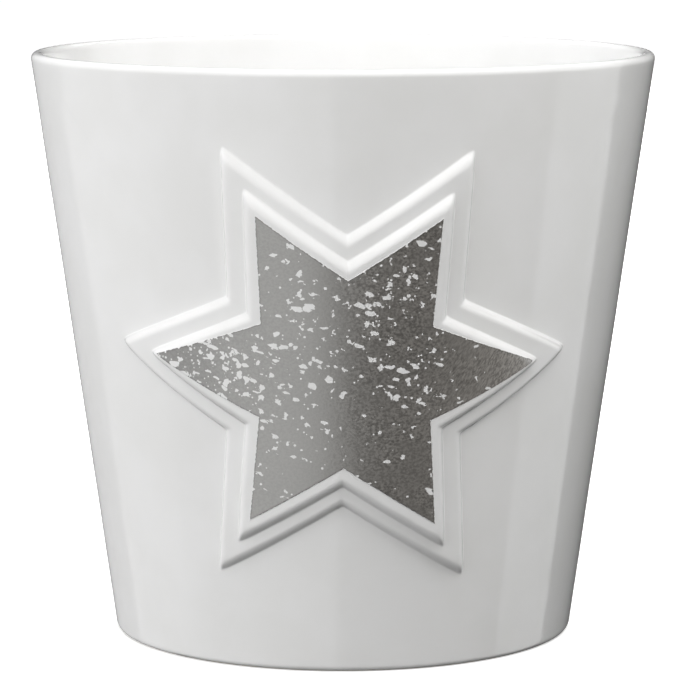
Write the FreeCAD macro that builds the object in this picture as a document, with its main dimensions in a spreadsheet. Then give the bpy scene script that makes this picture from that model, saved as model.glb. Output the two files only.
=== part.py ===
"""Tealight holder: a tapered ceramic pot with a raised star on its front, and the tealight it holds.

Millimetres. +Z is up, the origin is the centre of the foot, and the star faces -Y.
"""
import FreeCAD
import Part
import Sketcher
import os
import re

DIMENSIONS = {
    # Pot: a cone frustum, with radii measured on its outer wall line
    "foot_radius": 44.2,
    "rim_radius": 60.0,
    "pot_height": 112.0,
    "wall": 2.4,
    "floor_height": 5.0,
    "floor_round": 6.0,
    "rim_round": 1.15,
    "foot_round": 1.2,
    "recess_radius": 37.0,
    "recess_depth": 1.5,
    "recess_round": 0.6,
    # Raised star: two stacked tiers and a silver panel, each a six-pointed star in front view
    "star_height": 57.1,
    "star_bow_length": 625.0,
    "tier_step": 1.5,
    "tier_round": 0.8,
    "outer_slant_tip": 45.9,
    "outer_level_tip": 40.9,
    "outer_notch": 24.8,
    "inner_slant_tip": 38.0,
    "inner_level_tip": 35.2,
    "inner_notch": 20.6,
    "panel_slant_tip": 33.0,
    "panel_level_tip": 34.3,
    "panel_notch": 17.4,
    "panel_thickness": 0.2,
    "prism_depth": 70.0,
    # Tealight: a 38 mm by 16 mm cup, its wax, wick and wick sustainer
    "cup_lip_radius": 19.0,
    "cup_top_radius": 18.7,
    "cup_base_radius": 18.4,
    "cup_tall": 16.0,
    "cup_wall": 0.25,
    "cup_lip_tall": 0.7,
    "cup_base_round": 1.0,
    "wax_gap": 0.35,
    "wax_tall": 13.0,
    "wax_round": 0.8,
    "wick_radius": 0.7,
    "wick_above_wax": 7.0,
    "disc_radius": 6.3,
    "disc_thickness": 0.3,
    "collar_radius": 1.3,
    "collar_tall": 3.0,
}

LEVEL_TIPS = (0, 180)
STAR_STEP_DEG = 30
FULL_TURN_DEG = 360
PLACE_TOLERANCE = 1e-4
SKIN_TOLERANCE = 1e-3

doc = FreeCAD.newDocument("tealight_holder")


def make_sheet():
    """Put every driving dimension in a spreadsheet cell under its own alias."""
    sheet = doc.addObject("Spreadsheet::Sheet", "Sizes")
    for row, (alias, value) in enumerate(DIMENSIONS.items(), start=1):
        sheet.set(f"A{row}", alias)
        sheet.set(f"B{row}", str(value))
        sheet.setAlias(f"B{row}", alias)
    doc.recompute()
    return sheet


sizes = make_sheet()


def bound(expression):
    """Rewrite an expression in plain aliases as one that names the sheet."""
    return re.sub(r"[a-z]+(_[a-z]+)+|wall", lambda word: f"Sizes.{word.group()}", expression)


def value(expression):
    """The number an expression in plain aliases has now."""
    result = sizes.evalExpression(bound(expression))
    return float(getattr(result, "Value", result))


def origin_plane(body, role):
    return next(feature for feature in body.Origin.OriginFeatures if feature.Role == role)


def closed_sketch(body, name, points):
    """A closed polygon on the body's XZ plane, each corner held by expressions (x, z)."""
    sketch = body.newObject("Sketcher::SketchObject", name)
    sketch.AttachmentSupport = [(origin_plane(body, "XZ_Plane"), "")]
    sketch.MapMode = "FlatFace"
    corners = [FreeCAD.Vector(value(x), value(z), 0) for x, z in points]
    count = len(corners)
    for index in range(count):
        sketch.addGeometry(Part.LineSegment(corners[index], corners[(index + 1) % count]), False)
    for index in range(count):
        sketch.addConstraint(Sketcher.Constraint("Coincident", index, 2, (index + 1) % count, 1))
    for index, (x, z) in enumerate(points):
        hold(sketch, index, "X", x, corners[index].x)
        hold(sketch, index, "Y", z, corners[index].y)
    return sketch


def hold(sketch, index, axis, expression, number):
    """Fix one coordinate of a corner: on the sketch's own axis if it is 0, else by the sheet."""
    if expression == "0":
        sketch_axis = -2 if axis == "X" else -1
        sketch.addConstraint(Sketcher.Constraint("PointOnObject", index, 1, sketch_axis))
        return
    kind = f"Distance{axis}"
    place = sketch.addConstraint(Sketcher.Constraint(kind, -1, 1, index, 1, number))
    name = f"corner{index}_{axis.lower()}"
    sketch.renameConstraint(place, name)
    sketch.setExpression(f"Constraints.{name}", bound(expression))


def turned_body(name, points):
    """A body of revolution about Z from a closed outline of (radius, height) expressions."""
    body = doc.addObject("PartDesign::Body", name)
    sketch = closed_sketch(body, f"{name}_outline", points)
    turn = body.newObject("PartDesign::Revolution", f"{name}_turn")
    turn.Profile = sketch
    turn.ReferenceAxis = (sketch, ["V_Axis"])
    turn.Angle = FULL_TURN_DEG
    body.Tip = turn
    sketch.Visibility = False
    doc.recompute()
    return body


def ring_edges(shape, radius, height):
    """Names of the circular edges about Z with this radius at this height."""
    names = []
    for index, edge in enumerate(shape.Edges, start=1):
        curve = edge.Curve
        if not isinstance(curve, Part.Circle):
            continue
        same_radius = abs(curve.Radius - radius) < PLACE_TOLERANCE
        same_height = abs(curve.Center.z - height) < PLACE_TOLERANCE
        if same_radius and same_height:
            names.append(f"Edge{index}")
    return names


def round_rings(body, name, rings, radius_alias):
    """Round the ring edges given as (radius, height) expressions with one fillet feature."""
    base = body.Tip
    edges = []
    for radius, height in rings:
        edges += ring_edges(base.Shape, value(radius), value(height))
    fillet = body.newObject("PartDesign::Fillet", name)
    fillet.Base = (base, edges)
    fillet.setExpression("Radius", bound(radius_alias))
    body.Tip = fillet
    doc.recompute()


def make_shell():
    """The plain pot: floor, tapered wall, rounded rim, and a foot ring round a shallow recess."""
    slope = "(rim_radius - foot_radius) / pot_height"
    inner_floor_radius = f"foot_radius + {slope} * floor_height - wall"
    inner_rim_radius = "rim_radius - wall"
    shell = turned_body("pot_shell", [
        ("0", "recess_depth"),
        ("recess_radius", "recess_depth"),
        ("recess_radius", "0"),
        ("foot_radius", "0"),
        ("rim_radius", "pot_height"),
        (inner_rim_radius, "pot_height"),
        (inner_floor_radius, "floor_height"),
        ("0", "floor_height"),
    ])
    round_rings(shell, "round_floor", [(inner_floor_radius, "floor_height")], "floor_round")
    round_rings(shell, "round_foot", [("foot_radius", "0")], "foot_round")
    round_rings(shell, "round_recess", [("recess_radius", "0")], "recess_round")
    rim = [("rim_radius", "pot_height"), (inner_rim_radius, "pot_height")]
    round_rings(shell, "round_rim", rim, "rim_round")
    return shell


def star_outline(slant_tip, level_tip, notch):
    """Twelve corners, tips and notches in turn. The level arms bow up as they wrap round the cone."""
    points = []
    for angle in range(0, FULL_TURN_DEG, STAR_STEP_DEG):
        is_tip = angle % (2 * STAR_STEP_DEG) == 0
        reach = notch
        if is_tip:
            reach = level_tip if angle in LEVEL_TIPS else slant_tip
        across = f"{reach} * cos({angle})"
        bow = f"({across})^2 / star_bow_length"
        points.append((across, f"star_height + {reach} * sin({angle}) + {bow}"))
    return points


def star_prism(name):
    """A star-shaped bar from the pot's axis out past its front."""
    body = doc.addObject("PartDesign::Body", f"{name}_prism")
    outline = star_outline(f"{name}_slant_tip", f"{name}_level_tip", f"{name}_notch")
    sketch = closed_sketch(body, f"{name}_star", outline)
    pad = body.newObject("PartDesign::Pad", f"{name}_pad")
    pad.Profile = sketch
    pad.setExpression("Length", bound("prism_depth"))
    body.Tip = pad
    doc.recompute()
    if pad.Shape.BoundBox.YMax > PLACE_TOLERANCE:
        raise RuntimeError(f"{name} prism does not point to the front")
    return body


def wall_cone(name, outset):
    """A solid cone frustum parallel to the pot's wall, moved out by the outset expression."""
    cone = doc.addObject("Part::Cone", name)
    cone.setExpression("Radius1", bound(f"foot_radius + {outset}"))
    cone.setExpression("Radius2", bound(f"rim_radius + {outset}"))
    cone.setExpression("Height", bound("pot_height"))
    return cone


def star_layer(name, label, inner_outset, outer_outset):
    """The stretch of a skin round the pot, between two outsets, that the star prism covers."""
    skin = doc.addObject("Part::Cut", f"{name}_skin")
    skin.Base = wall_cone(f"{name}_skin_outside", outer_outset)
    skin.Tool = wall_cone(f"{name}_skin_inside", inner_outset)
    layer = doc.addObject("Part::Common", label)
    layer.Base = skin
    layer.Tool = star_prism(name)
    doc.recompute()
    return layer


def tier_top_edges(shape, outset):
    """Numbers of the edges where a tier's side walls meet its outer face."""
    slope = value("(rim_radius - foot_radius) / pot_height")
    foot = value("foot_radius") + outset
    numbers = []
    for index, edge in enumerate(shape.Edges, start=1):
        middle = edge.valueAt((edge.FirstParameter + edge.LastParameter) / 2)
        ends = [vertex.Point for vertex in edge.Vertexes]
        on_skin = [
            abs((point.x ** 2 + point.y ** 2) ** 0.5 - foot - slope * point.z) < SKIN_TOLERANCE
            for point in ends + [middle]
        ]
        if all(on_skin):
            numbers.append(index)
    return numbers


def rounded_tier(name, tier, outset):
    """The tier with the edge of its outer face rounded."""
    radius = value("tier_round")
    fillet = doc.addObject("Part::Fillet", name)
    fillet.Base = tier
    fillet.Edges = [(index, radius, radius) for index in tier_top_edges(tier.Shape, outset)]
    doc.recompute()
    return fillet


def make_pot():
    """The glazed pot: its shell with both star tiers grown from the front wall."""
    sunk = "(0 - wall / 2)"
    outer = star_layer("outer", "outer_tier", sunk, "tier_step")
    inner = star_layer("inner", "inner_tier", sunk, "tier_step * 2")
    step = value("tier_step")
    pot = doc.addObject("Part::MultiFuse", "pot")
    pot.Shapes = [
        make_shell(),
        rounded_tier("outer_tier_rounded", outer, step),
        rounded_tier("inner_tier_rounded", inner, 2 * step),
    ]
    doc.recompute()
    return pot


def make_star_panel():
    """The thin silver star on the inner tier's face."""
    return star_layer("panel", "star_panel", "tier_step * 2", "tier_step * 2 + panel_thickness")


def make_cup():
    """The tealight's pressed aluminium cup, standing on the pot's floor."""
    cup_top = "floor_height + cup_tall"
    cup = turned_body("tealight_cup", [
        ("0", "floor_height"),
        ("cup_base_radius", "floor_height"),
        ("cup_top_radius", f"{cup_top} - cup_lip_tall"),
        ("cup_lip_radius", f"{cup_top} - cup_lip_tall"),
        ("cup_lip_radius", cup_top),
        ("cup_top_radius - cup_wall", cup_top),
        ("cup_base_radius - cup_wall", "floor_height + cup_wall"),
        ("0", "floor_height + cup_wall"),
    ])
    round_rings(cup, "round_cup_inside",
                [("cup_base_radius - cup_wall", "floor_height + cup_wall")],
                "cup_base_round - cup_wall")
    round_rings(cup, "round_cup_outside", [("cup_base_radius", "floor_height")], "cup_base_round")
    return cup


def make_wax():
    """The wax: a loose fit in the cup, moulded round the sustainer and the wick."""
    base = "floor_height + cup_wall"
    outer_base = "cup_base_radius - cup_wall - wax_gap"
    outer_top = "cup_top_radius - cup_wall - wax_gap"
    disc_top = f"{base} + disc_thickness"
    collar_top = f"{disc_top} + collar_tall"
    wax_top = f"{base} + wax_tall"
    wax = turned_body("tealight_wax", [
        ("disc_radius", base),
        (outer_base, base),
        (outer_top, wax_top),
        ("wick_radius", wax_top),
        ("wick_radius", collar_top),
        ("collar_radius", collar_top),
        ("collar_radius", disc_top),
        ("disc_radius", disc_top),
    ])
    round_rings(wax, "round_wax_base", [(outer_base, base)], "wax_round")
    return wax


def make_sustainer():
    """The wick sustainer: a thin steel disc with a collar crimped round the wick."""
    base = "floor_height + cup_wall"
    disc_top = f"{base} + disc_thickness"
    collar_top = f"{disc_top} + collar_tall"
    return turned_body("wick_sustainer", [
        ("wick_radius", base),
        ("disc_radius", base),
        ("disc_radius", disc_top),
        ("collar_radius", disc_top),
        ("collar_radius", collar_top),
        ("wick_radius", collar_top),
    ])


def make_wick():
    """The wick, from the sustainer's underside up through the wax."""
    wick = doc.addObject("Part::Cylinder", "tealight_wick")
    wick.setExpression("Radius", bound("wick_radius"))
    wick.setExpression("Height", bound("wax_tall + wick_above_wax"))
    wick.setExpression("Placement.Base.z", bound("floor_height + cup_wall"))
    doc.recompute()
    return wick


def check_document():
    """Stop if any object of the document failed to recompute."""
    failed = [
        item.Name for item in doc.Objects
        if "Invalid" in item.State or "Error" in item.State
    ]
    if failed:
        raise RuntimeError(f"these objects failed: {failed}")


def export_parts(parts):
    """Write each sub-part's solid to parts/LABEL.step."""
    os.makedirs("parts", exist_ok=True)
    for part in parts:
        shape = part.Shape
        if shape.isNull() or not shape.isValid() or len(shape.Solids) != 1:
            raise RuntimeError(f"{part.Label} is not one valid solid")
        print(f"{part.Label}: {shape.Volume / 1000:.3f} cm3")
        shape.exportStep(f"parts/{part.Label}.step")


parts = [make_pot(), make_star_panel(), make_cup(), make_wax(), make_wick(), make_sustainer()]
doc.recompute()
check_document()
export_parts(parts)
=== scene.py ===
"""Looks for the tealight holder: a glazed pot with a raised star, its silver star, and a tealight.

Metres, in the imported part's frame: +Z is up, the pot's axis is the Z axis, and the star faces -Y.
Angles round the axis are measured from -Y towards +X.
"""
import math

import bpy
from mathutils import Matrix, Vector, noise


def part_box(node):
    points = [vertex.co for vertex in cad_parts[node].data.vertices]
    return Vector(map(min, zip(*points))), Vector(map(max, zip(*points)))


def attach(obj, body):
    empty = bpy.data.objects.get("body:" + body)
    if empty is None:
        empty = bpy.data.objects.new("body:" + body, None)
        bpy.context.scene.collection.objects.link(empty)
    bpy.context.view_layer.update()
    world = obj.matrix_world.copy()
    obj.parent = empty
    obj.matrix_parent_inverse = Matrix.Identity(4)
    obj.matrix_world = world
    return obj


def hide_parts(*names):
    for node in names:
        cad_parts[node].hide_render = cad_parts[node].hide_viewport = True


MM = 0.001
FULL_TURN = 2 * math.pi

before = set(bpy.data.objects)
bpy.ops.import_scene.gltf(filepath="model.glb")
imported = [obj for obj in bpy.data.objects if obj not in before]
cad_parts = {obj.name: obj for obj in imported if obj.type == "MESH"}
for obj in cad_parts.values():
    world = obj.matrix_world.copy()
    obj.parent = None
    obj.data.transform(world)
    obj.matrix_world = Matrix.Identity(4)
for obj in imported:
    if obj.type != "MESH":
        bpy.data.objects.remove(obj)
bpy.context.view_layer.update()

# ---------------------------------------------------------------- proportions, from the frame

pot_low, pot_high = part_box("pot")
cup_low, cup_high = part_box("tealight_cup")
wax_low, wax_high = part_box("tealight_wax")
wick_low, wick_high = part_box("tealight_wick")
disc_low, disc_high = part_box("wick_sustainer")

# The rim's rounding stops this far short of where the wall's cone would meet the top
RIM_ROUNDED_OFF = 0.17 * MM
FOOT_SHARE = 0.7368

HEIGHT = pot_high.z
RIM_RADIUS = pot_high.x + RIM_ROUNDED_OFF
FOOT_RADIUS = FOOT_SHARE * RIM_RADIUS
SLOPE = (RIM_RADIUS - FOOT_RADIUS) / HEIGHT
LEAN = math.atan(SLOPE)
WALL = 2.4 * MM
RIM_ROUND = WALL / 2
FOOT_ROUND = 1.2 * MM
FLOOR_Z = cup_low.z
FLOOR_ROUND = 6.0 * MM
RECESS_RADIUS = 37.0 * MM
RECESS_DEPTH = 1.5 * MM
RECESS_ROUND = 0.6 * MM

# The star's two tiers and silver panel, in the wall's flat development
STAR_Z = 57.5 * MM
TIER_STEP = 1.5 * MM
TIER_ROUND = 1.70 * MM     # how far in from its foot a tier's edge goes on rounding over
ROUND_POWER = 2.6          # 2 would be a parabola, and more is flatter on top
FOOT_HOLLOW = 0.40 * MM    # how far out from its foot a tier's hollow reaches
CORNER_SOFTNESS = math.radians(0.7)
PANEL_PROUD = 0.06 * MM    # how far the silver's two faces are above and below the tier
PANEL_SUNK = 0.12 * MM

# Where the silver is most chipped: middle (across, up) and spread in millimetres, and strength
WEAR_PATCHES = (
    (-28.0, 1.0, 8.0, 0.85),
    (-19.0, -4.0, 8.0, 0.75),
    (-9.0, 11.0, 7.0, 0.50),
    (-4.0, 3.0, 6.0, 0.35),
    (11.0, 17.0, 8.0, 0.58),
    (10.0, 3.0, 8.0, 0.30),
    (14.0, -8.0, 7.0, 0.35),
    (-10.0, -15.0, 8.0, 0.17),
)
WEAR_EVERYWHERE = 0.07

# The right arm keeps its silver: chipping falls off from here, in millimetres across
CALM_ARM_FROM = 19.0
CALM_ARM_WIDTH = 7.0
CALM_ARM_SHARE = 0.9

# The slight unevenness of the cast wall, which dies out towards the rim and the foot
WAVINESS = 0.05 * MM
WAVE_LENGTH = 22.0 * MM
RIM_CALM = 12 * MM
FOOT_CALM = 6 * MM
FOOT_TURN_CALM = 4 * MM    # extra, on the foot's rounding

# Mesh density, and the patch of wall that the star's loops fill
EDGE_STEPS = 28
PATCH_COLUMNS = 4 * EDGE_STEPS
PATCH_ROWS = 2 * EDGE_STEPS
PATCH_HALF_ANGLE = math.radians(62.0)
PATCH_HALF_HEIGHT = 47.5 * MM
BACK_STEPS = 128

# The camera, fitted to the photograph: distances in rim radii
CAMERA_AWAY = 11.5915
CAMERA_UP = 2.5393
CAMERA_RIGHT = 0.29 * MM
CAMERA_DOWN = math.radians(8.069)
LENS_MM = 185.6

# The studio
CARD_DISTANCE = 1.5
CARD_HEIGHT = 2.3
CARD_ELEVATION = -6
AIM_Z = 0.05
WARM_TINT = (1.0, 0.997, 0.985)
SILVER_TINT = (1.0, 0.94, 0.88)

# ---------------------------------------------------------------- mesh helpers


def new_object(name, vertices, faces, smooth=True):
    """A mesh object from plain lists, linked to the scene."""
    mesh = bpy.data.meshes.new(name)
    mesh.from_pydata(vertices, [], faces)
    mesh.validate()
    mesh.update()
    mesh.polygons.foreach_set("use_smooth", [smooth] * len(mesh.polygons))
    item = bpy.data.objects.new(name, mesh)
    bpy.context.scene.collection.objects.link(item)
    return item


def arc(centre, radius, start_deg, end_deg, steps):
    """Points (r, z) on an arc, both ends included. Angles run from +r towards +z."""
    points = []
    for step in range(steps + 1):
        angle = math.radians(start_deg + (end_deg - start_deg) * step / steps)
        points.append((centre[0] + radius * math.cos(angle), centre[1] + radius * math.sin(angle)))
    return points


def spaced(start, end, steps):
    """Evenly spaced numbers, both ends included."""
    return [start + (end - start) * step / steps for step in range(steps + 1)]


def turned(name, outline, columns, shape=None):
    """A closed surface of revolution from (r, z) points that start and end on the axis.

    shape(r, z, angle) may return a changed (r, z) for each point off the axis.
    """
    vertices = [(0.0, 0.0, outline[0][1])]
    inner = outline[1:-1]
    for r, z in inner:
        for column in range(columns):
            angle = FULL_TURN * column / columns
            reach, level = shape(r, z, angle) if shape else (r, z)
            vertices.append((reach * math.sin(angle), -reach * math.cos(angle), level))
    vertices.append((0.0, 0.0, outline[-1][1]))
    last = len(vertices) - 1
    faces = []
    for column in range(columns):
        after = (column + 1) % columns
        faces.append((0, 1 + after, 1 + column))
        for row in range(len(inner) - 1):
            low = 1 + row * columns
            high = low + columns
            faces.append((low + column, low + after, high + after, high + column))
        top = 1 + (len(inner) - 1) * columns
        faces.append((top + column, top + after, last))
    return new_object(name, vertices, faces)


# ---------------------------------------------------------------- the pot's wall and star


def wall_radius(z):
    """The radius of the outside wall's cone at a height."""
    return FOOT_RADIUS + SLOPE * z


def ripple(x, y, z):
    """The slight unevenness of a cast and glazed wall, in metres. There is none at the rim and foot."""
    place = Vector((x, y, z)) / WAVE_LENGTH
    fade = min(1.0, max(0.0, (HEIGHT - z) / RIM_CALM), z / FOOT_CALM)
    finer = noise.noise(place * 2.3)
    return fade * WAVINESS * (noise.noise(place) - 0.4 * finer)


def wall_point(angle, z, proud=0.0):
    """A point on the outside wall, moved out along the wall's normal."""
    radius = wall_radius(z)
    x, y = radius * math.sin(angle), -radius * math.cos(angle)
    out = proud + ripple(x, y, z)
    level = math.cos(LEAN) * out
    return (x + level * math.sin(angle), y - level * math.cos(angle), z - math.sin(LEAN) * out)


# Along the wall, from the cone's apex under the pot up to STAR_Z
APEX_TO_STAR = wall_radius(STAR_Z) / math.sin(LEAN)


def rolled_on(across, up):
    """Angle and height on the wall of a point of its flat development, measured from STAR_Z."""
    from_apex = math.hypot(across, APEX_TO_STAR + up)
    angle = math.atan2(across, APEX_TO_STAR + up) / math.sin(LEAN)
    return angle, (from_apex * math.sin(LEAN) - FOOT_RADIUS) / SLOPE


class Star:
    """A six-pointed star in the wall's flat development. Its first point lies to the right.

    tip and notch are the corners' distances from the centre. stretch makes it taller and as much
    narrower, and level_tip is for a star whose left and right points reach further than the others.
    """

    def __init__(self, centre, roll_deg, tip, notch, stretch, level_tip=None):
        self.centre = centre
        self.roll = math.radians(roll_deg)
        self.stretch = stretch
        self.tilt = math.atan2(tip - notch * math.cos(math.pi / 6), notch * 0.5)
        self.edge = tip * math.cos(self.tilt)
        self.notch = notch
        self.tip = tip
        self.level_tip = level_tip or tip

    def corner(self, number):
        """Reach and angle of a corner. Even corners are tips, odd ones notches."""
        if number % 2:
            return self.notch, number * math.pi / 6
        return (self.level_tip if number % 6 == 0 else self.tip), number * math.pi / 6

    def outline(self):
        """Points along the twelve edges in the star's own measure, closer together at the corners."""
        points = []
        for number in range(12):
            start, end = polar(*self.corner(number)), polar(*self.corner(number + 1))
            for step in range(EDGE_STEPS):
                share = 0.5 - 0.5 * math.cos(math.pi * step / EDGE_STEPS)
                across = start[0] + (end[0] - start[0]) * share
                up = start[1] + (end[1] - start[1]) * share
                points.append((across, up))
        return points

    def angles(self):
        """The directions of the outline's points from the centre."""
        return [math.atan2(up, across) for across, up in self.outline()]

    def outward(self, reach, angle):
        """The place in the development of a point given in the star's own measure."""
        across, up = polar(reach, angle)
        across, up = across / self.stretch, up * self.stretch
        turned_across = across * math.cos(self.roll) - up * math.sin(self.roll)
        turned_up = across * math.sin(self.roll) + up * math.cos(self.roll)
        return self.centre[0] + turned_across, self.centre[1] + turned_up

    def inward(self, across, up):
        """Reach and angle, in the star's own measure, of a place in the development."""
        across, up = across - self.centre[0], up - self.centre[1]
        turned_across = across * math.cos(self.roll) + up * math.sin(self.roll)
        turned_up = up * math.cos(self.roll) - across * math.sin(self.roll)
        turned_across, turned_up = turned_across * self.stretch, turned_up / self.stretch
        return math.hypot(turned_across, turned_up), math.atan2(turned_up, turned_across)

    def reach(self, inset, angle):
        """How far the outline, moved inwards by inset, is from the centre at this angle."""
        return (self.edge - inset) / math.cos(self.tilt - fold(angle))

    def inset(self, across, up):
        """How far inside the outline a place in the development is."""
        reach, angle = self.inward(across, up)
        return self.edge - reach * math.cos(self.tilt - fold(angle))


def polar(reach, angle):
    """(across, up) of a point at this reach and angle."""
    return reach * math.cos(angle), reach * math.sin(angle)


def fold(angle):
    """The angle from the nearest tip, from 0 at a tip to 30 degrees at a notch, with soft ends."""
    third = math.pi / 3
    from_tip = abs((angle + third / 2) % third - third / 2)
    from_notch = third / 2 - from_tip
    soft_tip = math.hypot(from_tip, CORNER_SOFTNESS) - from_tip
    soft_notch = math.hypot(from_notch, CORNER_SOFTNESS) - from_notch
    return from_tip + soft_tip - soft_notch


OUTER_STAR = Star((0.32 * MM, -0.33 * MM), -0.94, 46.7 * MM, 25.08 * MM, 1.0)
INNER_STAR = Star((0.39 * MM, -0.50 * MM), -1.29, 38.1 * MM, 20.52 * MM, 1.0143)
PANEL_STAR = Star((0.52 * MM, -0.11 * MM), -1.23, 32.75 * MM, 17.35 * MM, 1.0114, level_tip=35.8 * MM)


def step_height(inset):
    """Height of one tier's step, this far in from its foot: a small hollow, then a wide round."""
    if inset <= -FOOT_HOLLOW:
        return 0.0
    if inset >= TIER_ROUND:
        return TIER_STEP
    steepness = TIER_STEP / (FOOT_HOLLOW / 2 + TIER_ROUND / ROUND_POWER)
    if inset <= 0:
        return steepness * (inset + FOOT_HOLLOW) ** 2 / (2 * FOOT_HOLLOW)
    left = 1 - inset / TIER_ROUND
    return TIER_STEP - steepness * TIER_ROUND / ROUND_POWER * left ** ROUND_POWER


def relief(across, up):
    """Height of the two tiers above the wall at a place in the development."""
    return step_height(OUTER_STAR.inset(across, up)) + step_height(INNER_STAR.inset(across, up))


def star_loops():
    """The star and inset of every loop of its patch, from outside the foot to near the centre."""
    hollow = [-FOOT_HOLLOW * share for share in (1.6, 1.15, 0.9, 0.7, 0.5, 0.3, 0.12)]
    curve = [TIER_ROUND * share for share in (0.02, 0.08, 0.16, 0.27, 0.4, 0.55, 0.7, 0.85, 0.97, 1.1)]
    outside = [-2.5 * MM, -1.4 * MM]
    face = spaced(2.4 * MM, INNER_STAR.edge - 1.0 * MM, 11)
    loops = [(OUTER_STAR, inset) for inset in outside + hollow + curve]
    return loops + [(INNER_STAR, inset) for inset in hollow + curve + face]


# ---------------------------------------------------------------- the pot's mesh


def under_outline():
    """(r, z) of the underside and foot, from near the axis to the foot's outer corner."""
    corner_z = FOOT_ROUND
    corner_r = wall_radius(corner_z * (1 - math.sin(LEAN))) - FOOT_ROUND * math.cos(LEAN)
    outline = [(r, RECESS_DEPTH) for r in spaced(2.0 * MM, RECESS_RADIUS - 2 * RECESS_ROUND, 8)]
    hollow = (RECESS_RADIUS - RECESS_ROUND, RECESS_DEPTH - RECESS_ROUND)
    outline += arc(hollow, RECESS_ROUND, 90, 0, 5)[1:]
    outline += arc((RECESS_RADIUS + RECESS_ROUND, RECESS_ROUND), RECESS_ROUND, 180, 270, 5)[1:]
    outline += [(r, 0.0) for r in spaced(RECESS_RADIUS + 2 * RECESS_ROUND, corner_r, 5)[:-1]]
    outline += arc((corner_r, corner_z), FOOT_ROUND, -90, -math.degrees(LEAN), 9)
    return outline


def rim_outline():
    """(r, z) over the rounded rim, from the outside wall to the inside wall."""
    lean = math.degrees(LEAN)
    centre_z = HEIGHT - RIM_ROUND
    centre_r = wall_radius(centre_z - RIM_ROUND * math.sin(LEAN)) - RIM_ROUND * math.cos(LEAN)
    return arc((centre_r, centre_z), RIM_ROUND, -lean, 180 - lean, 16)


def inside_outline():
    """(r, z) from just below the rim down the inside wall and across the floor."""
    lean = math.degrees(LEAN)
    inset = 2 * RIM_ROUND / math.cos(LEAN)
    centre_z = FLOOR_Z + FLOOR_ROUND
    touch_z = centre_z - FLOOR_ROUND * math.sin(LEAN)
    centre_r = wall_radius(touch_z) - inset - FLOOR_ROUND * math.cos(LEAN)
    top = HEIGHT - RIM_ROUND * (1 - math.sin(LEAN))
    outline = [(wall_radius(z) - inset, z) for z in (top - 0.4 * MM, top - 1.2 * MM, top - 2.6 * MM)]
    outline += [(wall_radius(z) - inset, z) for z in spaced(top - 4.5 * MM, touch_z + 1.0 * MM, 26)]
    outline += arc((centre_r, centre_z), FLOOR_ROUND, -lean, -90, 10)
    outline += [(r, FLOOR_Z) for r in spaced(centre_r - 1.0 * MM, 2.0 * MM, 14)]
    return outline


def column_angles():
    """Angles of the pot's columns: the star's patch first, from left to right, then the back."""
    front = spaced(-PATCH_HALF_ANGLE, PATCH_HALF_ANGLE, PATCH_COLUMNS)
    back = spaced(PATCH_HALF_ANGLE, FULL_TURN - PATCH_HALF_ANGLE, BACK_STEPS)
    return front + back[1:-1]


def patch_border(first_row):
    """(row, column) of the wall's vertices round the star's patch, in the star's own order."""
    middle, top = first_row + EDGE_STEPS, first_row + PATCH_ROWS
    border = [(middle + step, PATCH_COLUMNS) for step in range(EDGE_STEPS)]
    border += [(top, PATCH_COLUMNS - step) for step in range(PATCH_COLUMNS)]
    border += [(top - step, 0) for step in range(PATCH_ROWS)]
    border += [(first_row, step) for step in range(PATCH_COLUMNS)]
    border += [(first_row + step, PATCH_COLUMNS) for step in range(EDGE_STEPS)]
    return border


def make_pot():
    """The whole pot as one closed mesh, with the star's two tiers grown out of its wall."""
    under = under_outline()
    rim = rim_outline()
    inside = inside_outline()
    patch_low, patch_high = STAR_Z - PATCH_HALF_HEIGHT, STAR_Z + PATCH_HALF_HEIGHT
    low_rows = [under[-1][1] + 0.5 * MM, under[-1][1] + 1.6 * MM]
    low_rows += spaced(low_rows[-1] + 2.0 * MM, patch_low, 4)[:-1]
    patch_rows = spaced(patch_low, patch_high, PATCH_ROWS)
    high_rows = spaced(patch_high, rim[0][1] - 1.6 * MM, 3)[1:] + [rim[0][1] - 0.5 * MM]
    wall_rows = low_rows + patch_rows + high_rows
    outline = under + [(wall_radius(z), z) for z in wall_rows] + rim + inside
    first_wall = len(under)
    first_patch = first_wall + len(low_rows)
    angles = column_angles()
    count = len(angles)

    vertices = []
    for row, (r, z) in enumerate(outline):
        on_wall = first_wall <= row < first_wall + len(wall_rows)
        for angle in angles:
            if on_wall:
                vertices.append(wall_point(angle, z))
                continue
            x, y = r * math.sin(angle), -r * math.cos(angle)
            out = ripple(x, y, z) * min(1.0, z / FOOT_TURN_CALM)
            vertices.append((x + out * math.sin(angle), y - out * math.cos(angle), z))

    faces = []
    patch_last = first_patch + PATCH_ROWS
    for row in range(len(outline) - 1):
        for column in range(count):
            if first_patch <= row < patch_last and column < PATCH_COLUMNS:
                continue
            after = (column + 1) % count
            here, above = row * count, (row + 1) * count
            faces.append((here + column, here + after, above + after, above + column))
    last = (len(outline) - 1) * count
    close_disc(vertices, faces, range(count), RECESS_DEPTH, facing_down=True)
    close_disc(vertices, faces, range(last, last + count), FLOOR_Z, facing_down=False)
    add_star(vertices, faces, [row * count + column for row, column in patch_border(first_patch)])
    return new_object("glazed_pot", vertices, faces)


def close_disc(vertices, faces, ring, z, facing_down):
    """Fill a ring round the axis with triangles to one middle vertex."""
    middle = len(vertices)
    vertices.append((0.0, 0.0, z))
    for step, here in enumerate(ring):
        after = ring[(step + 1) % len(ring)]
        faces.append((middle, after, here) if facing_down else (here, after, middle))


def wall_place(vertex):
    """Angle and height of a wall vertex."""
    return math.atan2(vertex[0], -vertex[1]), vertex[2]


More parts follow.
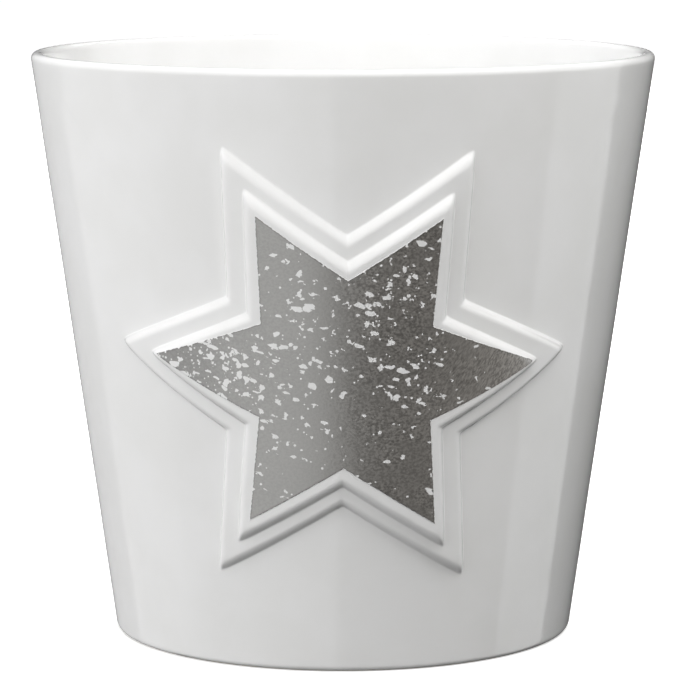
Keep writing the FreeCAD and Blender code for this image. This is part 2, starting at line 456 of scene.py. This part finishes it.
def add_star(vertices, faces, border):
    """Fill the hole in the wall with loops that follow the star's outline."""

    def loop_places(star, inset):
        return [star.outward(star.reach(inset, angle), angle) for angle in star.angles()]

    loops = star_loops()
    outer_loop = [rolled_on(*place) for place in loop_places(*loops[0])]
    outer_border = [wall_place(vertices[index]) for index in border]
    before = border
    ways_in = (0.15, 0.3, 0.45, 0.6, 0.72, 0.83, 0.92)  # shares of the way from border to outer loop
    for share in ways_in:
        loop = []
        for (angle_a, z_a), (angle_b, z_b) in zip(outer_border, outer_loop):
            loop.append(len(vertices))
            vertices.append(wall_point(angle_a + (angle_b - angle_a) * share, z_a + (z_b - z_a) * share))
        bridge(faces, before, loop)
        before = loop
    for star, inset in loops:
        loop = []
        for place in loop_places(star, inset):
            loop.append(len(vertices))
            vertices.append(wall_point(*rolled_on(*place), relief(*place)))
        bridge(faces, before, loop)
        before = loop
    middle = len(vertices)
    vertices.append(wall_point(*rolled_on(*INNER_STAR.centre), relief(*INNER_STAR.centre)))
    for step, here in enumerate(before):
        faces.append((here, before[(step + 1) % len(before)], middle))


def bridge(faces, outer, inner):
    """Quads between two loops with the same number of vertices."""
    for step in range(len(outer)):
        after = (step + 1) % len(outer)
        faces.append((outer[step], outer[after], inner[after], inner[step]))


# ---------------------------------------------------------------- the silver panel


def panel_wear(across, up):
    """How chipped the silver is here, from 0 to 1: most on the left arm, least on the right."""
    wear = WEAR_EVERYWHERE
    for centre_across, centre_up, spread, strength in WEAR_PATCHES:
        gap = math.hypot(across / MM - centre_across, up / MM - centre_up) / spread
        wear += strength * math.exp(-gap * gap)
    along_arm = min(1.0, max(0.0, (across / MM - CALM_ARM_FROM) / CALM_ARM_WIDTH))
    wear *= 1.0 - CALM_ARM_SHARE * along_arm
    return min(wear, 1.0)


def make_panel():
    """The silver star: a thin closed skin that follows the upper tier."""
    outline = PANEL_STAR.outline()
    shares = [1.0, 0.992, 0.975, 0.95, 0.92] + spaced(0.88, 0.04, 21)
    vertices, wear, border, faces = [], [], [], []

    def add_vertex(across, up, share, proud):
        place = PANEL_STAR.outward(math.hypot(across, up) * share, math.atan2(up, across))
        vertices.append(wall_point(*rolled_on(*place), relief(*place) + proud))
        wear.append(panel_wear(*place))
        border.append(PANEL_STAR.edge * (1.0 - share) / MM)
        return len(vertices) - 1

    def add_side(proud, ring_shares):
        loops = [[add_vertex(*point, share, proud) for point in outline] for share in ring_shares]
        return loops, add_vertex(0.0, 0.0, 0.0, proud)

    front, front_middle = add_side(PANEL_PROUD, shares)
    back, back_middle = add_side(-PANEL_SUNK, shares)
    bridge(faces, back[0], front[0])
    for loops in (front, back):
        for outer, inner in zip(loops, loops[1:]):
            pairs = (outer, inner) if loops is front else (inner, outer)
            bridge(faces, *pairs)
    count = len(outline)
    for step in range(count):
        after = (step + 1) % count
        faces.append((front[-1][step], front[-1][after], front_middle))
        faces.append((back[-1][after], back[-1][step], back_middle))
    panel = new_object("silver_star", vertices, faces)
    for name, values in (("wear", wear), ("border", border)):
        panel.data.attributes.new(name, "FLOAT", "POINT").data.foreach_set("value", values)
    return panel


# ---------------------------------------------------------------- the tealight


def make_cup():
    """The pressed aluminium cup: faint vertical draw lines, a rolled lip and a stamped base."""
    z0, z1 = cup_low.z, cup_high.z
    base_r, top_r = 18.4 * MM, 18.65 * MM
    foil = 0.25 * MM
    lip = 0.35 * MM
    corner = 1.0 * MM
    lip_centre = (cup_high.x - lip, z1 - lip)
    base_step = 0.12 * MM
    outline = [(0.0, z0 + base_step)]
    outline += [(r, z0 + base_step) for r in spaced(1.0 * MM, 11.0 * MM, 6)]
    outline += [(11.6 * MM, z0), (12.4 * MM, z0), (13.2 * MM, z0)]
    outline += arc((base_r - corner, z0 + corner), corner, -90, 0, 7)
    outline += [(base_r + (top_r - base_r) * share, z0 + corner + (z1 - z0 - 2.0 * MM) * share)
                for share in spaced(0.05, 0.95, 16)]
    outline += arc(lip_centre, lip, -120, 150, 14)
    outline += [(top_r - foil, z1 - lip * 1.2)]
    outline += [(base_r - foil + (top_r - base_r) * share, z0 + corner + (z1 - z0 - 2.0 * MM) * share)
                for share in spaced(0.95, 0.05, 10)]
    inner_corner = corner - foil
    outline += arc((base_r - corner, z0 + corner), inner_corner, 0, -90, 5)
    outline += [(r, z0 + foil) for r in spaced(16.0 * MM, 1.0 * MM, 6)]
    outline += [(0.0, z0 + foil)]

    def draw_lines(r, z, angle):
        """Fine wrinkles up the drawn wall, dying out at the base and under the lip."""
        if r < base_r - corner:
            return r, z
        climb = max(0.0, min(1.0, (z - z0 - corner) / (8.0 * MM)))
        fade = max(0.0, min(1.0, (z1 - 0.6 * MM - z) / (1.5 * MM)))
        place = Vector((math.cos(angle), math.sin(angle), 0.0)) * 9.0
        place.z = z / (40.0 * MM)
        return r + 0.05 * MM * climb * fade * noise.noise(place * 1.6), z

    return turned("aluminium_cup", outline, 192, draw_lines)


def make_wax():
    """The wax: a soft-edged plug, a little dished on top, with a dimple round the wick."""
    z0, z1 = wax_low.z, wax_high.z
    base_r, top_r = wax_high.x - 0.3 * MM, wax_high.x
    disc_r = disc_high.x + 0.1 * MM
    corner = 0.8 * MM
    disc_room = 0.3 * MM
    outline = [(0.0, z0 + disc_room)]
    outline += [(r, z0 + disc_room) for r in spaced(1.0 * MM, disc_r, 4)]
    outline += [(disc_r + 0.05 * MM, z0)]
    outline += [(r, z0) for r in spaced(disc_r + 0.8 * MM, base_r - corner, 5)[:-1]]
    outline += arc((base_r - corner, z0 + corner), corner, -90, 0, 6)
    outline += [(base_r + (top_r - base_r) * share, z0 + corner + (z1 - z0 - 1.6 * MM) * share)
                for share in spaced(0.08, 0.96, 10)]
    edge = 0.5 * MM
    outline += arc((top_r - edge, z1 - edge), edge, 0, 110, 6)
    dish = 0.45 * MM
    for r in spaced(top_r - 1.4 * MM, 2.4 * MM, 14):
        share = r / top_r
        outline.append((r, z1 - dish * (1 - share ** 4) - 0.02 * MM))
    outline += [(1.7 * MM, z1 - dish - 0.12 * MM), (1.1 * MM, z1 - dish - 0.2 * MM)]
    outline += [(0.7 * MM, z1 - dish + 0.05 * MM), (0.0, z1 - dish + 0.1 * MM)]

    def settle(r, z, angle):
        """Wax never cools quite level."""
        if z < z1 - 1.0 * MM:
            return r, z
        place = Vector((math.cos(angle) * r, math.sin(angle) * r, 0.0)) / (7.0 * MM)
        return r, min(z + 0.10 * MM * noise.noise(place), z1)

    return turned("wax_plug", outline, 160, settle)


def make_wick():
    """A three-strand braided wick, the strands flattened together, leaning a little at its top."""
    strand = 0.27 * MM
    side, depth = 0.40 * MM, 0.20 * MM
    pitch = 2.4 * MM
    top_lean = 0.9 * MM
    low, high = wick_low.z, wick_high.z
    lean_from = wax_high.z
    sides = 10
    steps = 220
    vertices, faces = [], []

    def centre(z, phase):
        turn = FULL_TURN * (z - low) / pitch + phase
        past = max(0.0, z - lean_from) / (high - lean_from)
        lean = top_lean * past * past
        return Vector((side * math.sin(turn) + lean, depth * math.sin(2 * turn), z))

    for number in range(3):
        phase = FULL_TURN * number / 3
        first = len(vertices)
        for z in spaced(low, high, steps):
            middle = centre(z, phase)
            along = (centre(z + 0.05 * MM, phase) - centre(z - 0.05 * MM, phase)).normalized()
            flat = along.cross(Vector((0, 1, 0))).normalized()
            over = along.cross(flat)
            end = min(1.0, (high - z) / (0.35 * MM), (z - low) / (0.15 * MM) + 0.35)
            width = strand * math.sqrt(max(end, 0.02))
            for corner in range(sides):
                angle = FULL_TURN * corner / sides
                vertices.append(middle + flat * width * math.cos(angle) + over * width * math.sin(angle))
        for step in range(steps):
            for corner in range(sides):
                after = (corner + 1) % sides
                here, above = first + step * sides, first + (step + 1) * sides
                faces.append((here + corner, here + after, above + after, above + corner))
        faces.append(tuple(first + corner for corner in reversed(range(sides))))
        faces.append(tuple(first + steps * sides + corner for corner in range(sides)))
    return new_object("braided_wick", [tuple(vertex) for vertex in vertices], faces)


# ---------------------------------------------------------------- materials


class Shader:
    """A material's node tree, with short ways to add and join nodes."""

    def __init__(self, name):
        self.material = bpy.data.materials.new(name)
        self.material.use_nodes = True
        self.tree = self.material.node_tree
        self.tree.nodes.clear()
        self.output = self.tree.nodes.new("ShaderNodeOutputMaterial")

    def node(self, kind, **settings):
        """A new node with these properties set."""
        node = self.tree.nodes.new(kind)
        for name, value in settings.items():
            setattr(node, name, value)
        return node

    def join(self, source, target):
        self.tree.links.new(source, target)

    def place(self, stretch=(1.0, 1.0, 1.0), roll_deg=0.0):
        """The object's coordinates in millimetres, rolled about Y, then divided by stretch."""
        coordinates = self.node("ShaderNodeTexCoord")
        mapping = self.node("ShaderNodeMapping", vector_type="TEXTURE")
        mapping.inputs["Rotation"].default_value = (0.0, math.radians(roll_deg), 0.0)
        mapping.inputs["Scale"].default_value = [MM * factor for factor in stretch]
        self.join(coordinates.outputs["Object"], mapping.inputs["Vector"])
        return mapping.outputs["Vector"]

    def attribute(self, name):
        """A number stored on the mesh's vertices."""
        return self.node("ShaderNodeAttribute", attribute_name=name).outputs["Fac"]

    def jittered(self, vector, size_mm, amount_mm):
        """The same place, pushed about by noise."""
        texture = self.node("ShaderNodeTexNoise")
        texture.inputs["Scale"].default_value = 1.0 / size_mm
        texture.inputs["Detail"].default_value = 1.0
        push = self.node("ShaderNodeVectorMath", operation="MULTIPLY_ADD")
        push.inputs[1].default_value = (amount_mm, amount_mm, amount_mm)
        self.join(vector, texture.inputs["Vector"])
        self.join(texture.outputs["Color"], push.inputs[0])
        self.join(vector, push.inputs[2])
        return push.outputs[0]

    def noise(self, vector, size_mm, detail=2.0, roughness=0.5, distortion=0.0):
        """Noise from 0 to 1 with features of about this size."""
        texture = self.node("ShaderNodeTexNoise")
        texture.inputs["Scale"].default_value = 1.0 / size_mm
        texture.inputs["Detail"].default_value = detail
        texture.inputs["Roughness"].default_value = roughness
        texture.inputs["Distortion"].default_value = distortion
        self.join(vector, texture.inputs["Vector"])
        return texture.outputs["Fac"]

    def voronoi(self, vector, size_mm, output="Distance"):
        """Cells of about this size: the distance to each one's middle, or its random colour."""
        texture = self.node("ShaderNodeTexVoronoi")
        texture.inputs["Scale"].default_value = 1.0 / size_mm
        self.join(vector, texture.inputs["Vector"])
        return texture.outputs[output]

    def math(self, operation, first, second):
        """Arithmetic on two values, each a number or another node's output."""
        node = self.node("ShaderNodeMath", operation=operation)
        for socket, value in zip(node.inputs, (first, second)):
            if isinstance(value, (int, float)):
                socket.default_value = value
            else:
                self.join(value, socket)
        return node.outputs[0]

    def spread(self, value, from_low, from_high, to_low=0.0, to_high=1.0, smooth=True):
        """Map a range of values on to another, held at its ends."""
        node = self.node("ShaderNodeMapRange")
        node.interpolation_type = "SMOOTHSTEP" if smooth else "LINEAR"
        limits = (from_low, from_high, to_low, to_high)
        for name, limit in zip(("From Min", "From Max", "To Min", "To Max"), limits):
            node.inputs[name].default_value = limit
        self.join(value, node.inputs["Value"])
        return node.outputs["Result"]

    def blend(self, share, low, high):
        """A colour between two, by share. Each colour is a tuple or another node's output."""
        node = self.node("ShaderNodeMix", data_type="RGBA")
        self.join(share, node.inputs["Factor"])
        for socket, colour in ((node.inputs[6], low), (node.inputs[7], high)):
            if isinstance(colour, tuple):
                socket.default_value = (*colour, 1.0)
            else:
                self.join(colour, socket)
        return node.outputs[2]

    def bump(self, height, depth_mm, strength=1.0, after=None):
        """Surface detail this deep, on top of an earlier bump if there is one."""
        node = self.node("ShaderNodeBump")
        node.inputs["Strength"].default_value = strength
        node.inputs["Distance"].default_value = depth_mm * MM
        self.join(height, node.inputs["Height"])
        if after is not None:
            self.join(after, node.inputs["Normal"])
        return node.outputs["Normal"]

    def principled(self, **inputs):
        """A Principled shader. Each input is a number, a tuple or another node's output."""
        node = self.node("ShaderNodeBsdfPrincipled")
        for name, value in inputs.items():
            socket = node.inputs[name.replace("_", " ")]
            if isinstance(value, bpy.types.NodeSocket):
                self.join(value, socket)
            elif isinstance(value, tuple) and len(value) == 3 and socket.type == "RGBA":
                socket.default_value = (*value, 1.0)
            else:
                socket.default_value = value
        return node.outputs["BSDF"]

    def mixed(self, share, low, high):
        """Two shaders mixed: low where share is 0, high where it is 1."""
        node = self.node("ShaderNodeMixShader")
        self.join(share, node.inputs[0])
        self.join(low, node.inputs[1])
        self.join(high, node.inputs[2])
        return node.outputs[0]

    def finish(self, surface):
        """Join the surface to the material's output, and return the material."""
        self.join(surface, self.output.inputs["Surface"])
        return self.material


def glaze_surface(shader, place):
    """White glossy glaze, with its faint cloudiness and orange-peel surface."""
    cloud = shader.noise(place, 18.0, detail=3.0)
    colour = shader.blend(shader.spread(cloud, 0.35, 0.65), (0.80, 0.80, 0.795), (0.825, 0.825, 0.825))
    peel = shader.bump(shader.noise(place, 2.6, detail=1.0), 0.010)
    rough = shader.spread(shader.noise(place, 6.0, detail=2.0), 0.3, 0.7, 0.07, 0.12)
    return shader.principled(Base_Color=colour, Roughness=rough, Normal=peel, IOR=1.52)


def make_glaze():
    """The pot: white glaze, wiped off the foot ring so that bare clay shows there."""
    shader = Shader("white_glaze")
    place = shader.place()
    glaze = glaze_surface(shader, place)
    grain = shader.noise(place, 0.5, detail=4.0)
    clay_colour = shader.blend(shader.spread(grain, 0.3, 0.7), (0.62, 0.57, 0.50), (0.74, 0.70, 0.63))
    clay = shader.principled(Base_Color=clay_colour, Roughness=0.85, Normal=shader.bump(grain, 0.06))
    parts = shader.node("ShaderNodeSeparateXYZ")
    shader.join(place, parts.inputs[0])
    wander = shader.spread(shader.noise(place, 4.0), 0.3, 0.7, -0.08, 0.08)
    level = shader.math("ADD", parts.outputs["Z"], wander)
    return shader.finish(shader.mixed(shader.spread(level, 0.22, 0.34), clay, glaze))


def lost_film(shader, vector, cell_mm, sizes_mm, most, least):
    """Ragged round patches of missing film, of many sizes, more of them where it is worn."""
    lottery = shader.node("ShaderNodeSeparateColor")
    shader.join(shader.voronoi(vector, cell_mm, output="Color"), lottery.inputs[0])
    gap = shader.math("MULTIPLY", shader.voronoi(vector, cell_mm), cell_mm)
    size = shader.spread(shader.math("POWER", lottery.outputs[0], 1.5), 0.0, 1.0, *sizes_mm, smooth=False)
    inside = shader.spread(shader.math("SUBTRACT", size, gap), -0.03, 0.03)
    cut = shader.spread(shader.attribute("wear"), 0.0, 1.0, 1 - least, 1 - most, smooth=False)
    return shader.math("MULTIPLY", inside, shader.math("GREATER_THAN", lottery.outputs[1], cut))


def make_silver():
    """Silver lustre: a thin metal film, chipped through to the white glaze under it."""
    shader = Shader("silver_lustre")
    place = shader.place()
    glaze = glaze_surface(shader, place)

    level_grain = shader.noise(shader.place((1.25, 1.25, 1.0)), 0.42, detail=2.0, roughness=0.6)
    slant_grain = shader.noise(shader.place((1.0, 1.0, 3.0), 38.0), 0.32, detail=2.0, roughness=0.6,
                               distortion=0.4)
    parts = shader.node("ShaderNodeSeparateXYZ")
    shader.join(place, parts.inputs[0])
    rightward = shader.spread(parts.outputs["X"], 10.0, 26.0)
    grain = shader.node("ShaderNodeMix", data_type="FLOAT")
    shader.join(rightward, grain.inputs[0])
    shader.join(level_grain, grain.inputs[2])
    shader.join(slant_grain, grain.inputs[3])
    grain = grain.outputs[0]

    patchy = shader.spread(shader.noise(place, 7.0, detail=1.0), 0.40, 0.60, 0.45, 1.3)
    # Painted sheen: towards the right, in patches, the grain gets darker low flecks and lighter high ones in
    # place of its glinting highlights; the grain itself is the film's own
    rub_and_sheen = shader.math("MULTIPLY", shader.spread(parts.outputs["X"], -4.0, 10.0), patchy)
    low_film = shader.blend(rub_and_sheen, (0.345, 0.343, 0.333), (0.265, 0.263, 0.256))
    high_film = shader.blend(rub_and_sheen, (0.395, 0.391, 0.381), (0.50, 0.495, 0.48))
    tone = shader.spread(shader.noise(place, 12.0, detail=2.0), 0.3, 0.7, -0.12, 0.12)
    film = shader.blend(shader.math("ADD", shader.spread(grain, 0.34, 0.66), tone), low_film, high_film)
    near_edge = shader.spread(shader.attribute("border"), 0.05, 0.40, 0.50, 0.0)
    film = shader.blend(near_edge, film, (0.20, 0.195, 0.19))
    rough = shader.spread(grain, 0.3, 0.7, 0.30, 0.40)
    metal = shader.principled(Base_Color=film, Metallic=1.0, Roughness=rough,
                              Normal=shader.bump(grain, 0.040, strength=0.6))

    torn = shader.jittered(shader.jittered(place, 0.95, 1.5), 0.35, 0.4)
    flat = shader.jittered(shader.jittered(shader.place((1.7, 1.7, 0.9), 14.0), 1.0, 1.1), 0.35, 0.35)
    ragged = shader.spread(shader.noise(place, 0.55, detail=3.0), 0.35, 0.65, 0.0, 0.09)
    gone = shader.math("GREATER_THAN", ragged, shader.attribute("border"))
    for vector, cell_mm, sizes_mm, most, least in (
        (torn, 1.35, (0.27, 0.70), 0.72, 0.0),
        (flat, 1.25, (0.24, 0.62), 0.64, 0.0),
        (place, 0.62, (0.08, 0.24), 0.30, 0.02),
    ):
        gone = shader.math("MAXIMUM", gone, lost_film(shader, vector, cell_mm, sizes_mm, most, least))
    return shader.finish(shader.mixed(gone, metal, glaze))


def make_foil():
    """Bright pressed aluminium with fine handling marks."""
    shader = Shader("cup_aluminium")
    place = shader.place()
    marks = shader.noise(shader.place((1.0, 1.0, 7.0)), 0.35, detail=4.0, roughness=0.6)
    dents = shader.noise(place, 3.0, detail=2.0)
    colour = shader.blend(shader.spread(marks, 0.3, 0.7), (0.76, 0.765, 0.77), (0.86, 0.865, 0.87))
    rough = shader.spread(marks, 0.3, 0.7, 0.22, 0.34)
    surface = shader.bump(marks, 0.004, after=shader.bump(dents, 0.04))
    return shader.finish(shader.principled(Base_Color=colour, Metallic=1.0, Roughness=rough, Normal=surface))


def make_wax_material():
    """White paraffin: cloudy, a little translucent, with a faint frosting."""
    shader = Shader("wax")
    place = shader.place()
    frost = shader.noise(place, 1.3, detail=5.0, roughness=0.6)
    colour = shader.blend(shader.spread(frost, 0.35, 0.7), (0.80, 0.79, 0.745), (0.87, 0.865, 0.835))
    rough = shader.spread(frost, 0.3, 0.7, 0.36, 0.52)
    return shader.finish(shader.principled(
        Base_Color=colour, Roughness=rough, Normal=shader.bump(frost, 0.03),
        Subsurface_Weight=0.5, Subsurface_Radius=(0.004, 0.0035, 0.003), Subsurface_Scale=1.0))


def make_cotton():
    """Waxed cotton yarn, its fibres running up the strands."""
    shader = Shader("wick_cotton")
    fibres = shader.noise(shader.place((1.0, 1.0, 8.0)), 0.07, detail=3.0)
    colour = shader.blend(shader.spread(fibres, 0.3, 0.7), (0.66, 0.63, 0.55), (0.86, 0.84, 0.78))
    return shader.finish(shader.principled(
        Base_Color=colour, Roughness=0.7, Normal=shader.bump(fibres, 0.03)))


def make_tinplate():
    """Tin-plated steel with stamped faces and slight rub marks."""
    shader = Shader("sustainer_steel")
    place = shader.place()
    rub_and_sheen = shader.noise(place, 0.8, detail=4.0)
    colour = shader.blend(shader.spread(rub_and_sheen, 0.3, 0.7), (0.48, 0.48, 0.49), (0.62, 0.62, 0.63))
    rough = shader.spread(rub_and_sheen, 0.3, 0.7, 0.28, 0.42)
    return shader.finish(shader.principled(
        Base_Color=colour, Metallic=1.0, Roughness=rough, Normal=shader.bump(rub_and_sheen, 0.01)))


# ---------------------------------------------------------------- assemble

# Piece, body, the CAD node it stands for, material and slot
pieces = (
    (make_pot(), "holder", "pot", make_glaze(), "white_glaze"),
    (make_panel(), "holder", "star_panel", make_silver(), "silver_lustre"),
    (make_cup(), "tealight_shell", "tealight_cup", make_foil(), "cup_aluminium"),
    (make_wax(), "candle", "tealight_wax", make_wax_material(), "wax"),
    (make_wick(), "candle", "tealight_wick", make_cotton(), "wick_cotton"),
)
for piece, body, node, material, slot in pieces:
    piece.data.materials.append(material)
    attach(piece, body)
    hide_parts(node)

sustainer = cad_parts["wick_sustainer"]
sustainer.data.materials.clear()
sustainer.data.materials.append(make_tinplate())

# ---------------------------------------------------------------- stage, light and camera


def make_floor():
    """A plain pale floor that only the camera sees, bright enough to read as white paper.

    It is clear from below, so that the foot can be looked at.
    """
    half = 8.0
    floor = new_object("floor", [(-half, -half, 0), (half, -half, 0), (half, half, 0), (-half, half, 0)],
                       [(0, 1, 2, 3)], smooth=False)
    shader = Shader("pale_floor")
    place = shader.place()
    speckle = shader.noise(place, 40.0, detail=2.0)
    colour = shader.blend(shader.spread(speckle, 0.3, 0.7), (0.88, 0.88, 0.88), (0.90, 0.90, 0.90))
    reach = shader.node("ShaderNodeVectorMath", operation="LENGTH")
    shader.join(place, reach.inputs[0])
    glow = shader.spread(reach.outputs["Value"], 60.0, 400.0, 0.34, 1.0)
    paper = shader.principled(
        Base_Color=colour, Roughness=0.9, Emission_Color=(1.0, 1.0, 1.0), Emission_Strength=glow)
    clear = shader.node("ShaderNodeBsdfTransparent").outputs[0]
    underneath = shader.node("ShaderNodeNewGeometry").outputs["Backfacing"]
    floor.data.materials.append(shader.finish(shader.mixed(underneath, paper, clear)))
    floor.visible_diffuse = False
    floor.visible_glossy = False
    floor.visible_shadow = False


def make_softbox(name, azimuth, elevation, distance, width, height, radiance, lights, tint=(1, 1, 1)):
    """A rectangular light that faces the pot. Angles are in degrees, azimuth from -Y towards +X.

    lights is "diffuse" for a light that only shades, or "gloss" for one that only reflects.
    """
    light = bpy.data.lights.new(name, "AREA")
    light.shape = "RECTANGLE"
    light.size = width
    light.size_y = height
    light.color = tint
    light.energy = radiance * math.pi * width * height
    box = bpy.data.objects.new(name, light)
    turn, climb = math.radians(azimuth), math.radians(elevation)
    away = Vector((math.cos(climb) * math.sin(turn), -math.cos(climb) * math.cos(turn), math.sin(climb)))
    box.location = Vector((0, 0, AIM_Z)) + away * distance
    box.rotation_euler = (-away).to_track_quat("-Z", "Y").to_euler()
    box.visible_diffuse = lights == "diffuse"
    box.visible_glossy = lights == "gloss"
    bpy.context.scene.collection.objects.link(box)


def make_card(name, start, end, radiance, tint=(1, 1, 1)):
    """A tall card for the glaze and silver to reflect, from one azimuth to another in degrees."""
    width = 2 * CARD_DISTANCE * math.tan(math.radians(end - start) / 2)
    azimuth = (start + end) / 2
    make_softbox(name, azimuth, CARD_ELEVATION, CARD_DISTANCE, width, CARD_HEIGHT, radiance, "gloss", tint)


def make_under_light():
    """A narrow beam straight up, about as wide as the foot, so that the underside can be seen."""
    below = 0.06
    light = bpy.data.lights.new("under_light", "AREA")
    light.shape = "DISK"
    light.size = 1.8 * FOOT_RADIUS
    light.spread = math.radians(10.0)
    light.energy = 0.013
    lamp = bpy.data.objects.new("under_light", light)
    lamp.location = (0, 0, -below)
    lamp.rotation_euler = (math.pi, 0, 0)
    lamp.visible_glossy = False
    bpy.context.scene.collection.objects.link(lamp)


def make_lights():
    """Soft lights round the pot, and the ring of cards that its glaze and silver reflect.

    The numbers are azimuth, elevation, distance, width, height and radiance, and for a card its
    first and last azimuth and its radiance.
    """
    make_softbox("left_light", -60, 8, 1.3, 1.6, 0.8, 2.55, "diffuse")
    make_softbox("near_left_light", -65, 50, 0.45, 0.4, 0.4, 1.00, "diffuse")
    make_softbox("rear_left_light", -120, 15, 1.3, 1.8, 1.3, 1.15, "diffuse")
    make_softbox("right_light", 80, 10, 1.3, 1.2, 1.0, 0.70, "diffuse", WARM_TINT)
    make_softbox("near_right_light", 65, 50, 0.45, 0.4, 0.4, 2.80, "diffuse", WARM_TINT)
    make_softbox("front_light", 0, 5, 1.5, 1.2, 0.5, 1.85, "diffuse", WARM_TINT)
    make_softbox("high_front_light", 0, 28, 1.5, 1.2, 0.6, 2.50, "diffuse", WARM_TINT)
    make_softbox("rear_light", 180, 30, 1.5, 1.8, 1.2, 2.60, "diffuse")
    make_softbox("top_light", 0, 80, 1.2, 1.2, 1.2, 1.00, "diffuse")
    make_card("left_card", -50, -4, 0.97)
    make_card("far_left_card", -85, -50, 0.72)
    make_card("rear_left_card", -125, -85, 0.87)
    make_card("back_left_card", -165, -125, 0.50)
    make_card("front_card", -4, 52, 0.25, SILVER_TINT)
    make_card("front_right_card", 52, 86, 0.42, SILVER_TINT)
    make_card("right_card", 86, 121, 1.10)
    make_under_light()
    make_softbox("top_card", 0, 75, 1.2, 1.4, 1.2, 0.70, "gloss")
    make_softbox("back_card", 180, 50, 1.3, 1.8, 1.0, 0.80, "gloss")
    make_softbox("floor_card", 0, -75, 1.2, 2.4, 1.3, 0.30, "gloss")


def make_world():
    """White to the camera, and a dim even light to everything else."""
    world = bpy.data.worlds.new("studio")
    world.use_nodes = True
    nodes = world.node_tree.nodes
    path = nodes.new("ShaderNodeLightPath")
    level = nodes.new("ShaderNodeMapRange")
    level.inputs["To Min"].default_value = 0.02
    level.inputs["To Max"].default_value = 1.0
    world.node_tree.links.new(path.outputs["Is Camera Ray"], level.inputs["Value"])
    world.node_tree.links.new(level.outputs["Result"], nodes["Background"].inputs["Strength"])
    nodes["Background"].inputs["Color"].default_value = (1.0, 1.0, 1.0, 1.0)
    bpy.context.scene.world = world


def make_camera():
    """A long lens, a little above the rim and tilted down at the pot."""
    data = bpy.data.cameras.new("camera")
    data.lens = LENS_MM
    data.sensor_width = 36.0
    data.clip_end = 50.0
    camera = bpy.data.objects.new("camera", data)
    camera.location = (CAMERA_RIGHT, -CAMERA_AWAY * RIM_RADIUS, CAMERA_UP * RIM_RADIUS)
    camera.rotation_euler = (math.radians(90.0) - CAMERA_DOWN, 0.0, 0.0)
    bpy.context.scene.collection.objects.link(camera)
    bpy.context.scene.camera = camera


make_floor()
make_lights()
make_world()
make_camera()
bpy.context.scene.view_settings.view_transform = "Standard"
